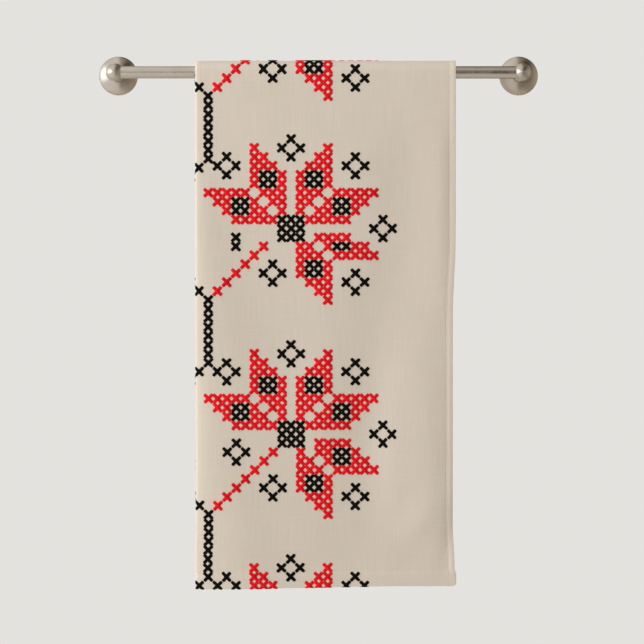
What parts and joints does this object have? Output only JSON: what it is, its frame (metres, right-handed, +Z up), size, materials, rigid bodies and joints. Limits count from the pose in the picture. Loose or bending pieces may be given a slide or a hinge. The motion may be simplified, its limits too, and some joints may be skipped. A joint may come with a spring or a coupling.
{
  "type": "embroidered bath towel hanging on a towel rail",
  "caption": "Flax-coloured bath towel with cross-stitch flowers, folded in half lengthwise and hung over a straight round wall rail with ball-headed posts.",
  "frame": {"origin": "on the wall plane, midway between the two posts and level with the rail's axis", "axes": "+X along the rail, to the right as seen from the room; +Y into the wall; +Z up"},
  "size_m": [0.658, 0.0969, 0.7895],
  "materials": {
    "cloth": "flat woven cotton and linen, flax colour",
    "thread_red": "stranded cotton, red",
    "thread_black": "stranded cotton, black",
    "rail_metal": "satin nickel",
    "screw_metal": "dull steel"
  },
  "bodies": {
    "root": {"towel": "cloth", "rail_tube": "rail_metal", "post_left": "rail_metal", "post_right": "rail_metal", "flange_cover_left": "rail_metal", "flange_cover_right": "rail_metal", "set_screw_left": "screw_metal", "set_screw_right": "screw_metal"}
  },
  "joints": []
}
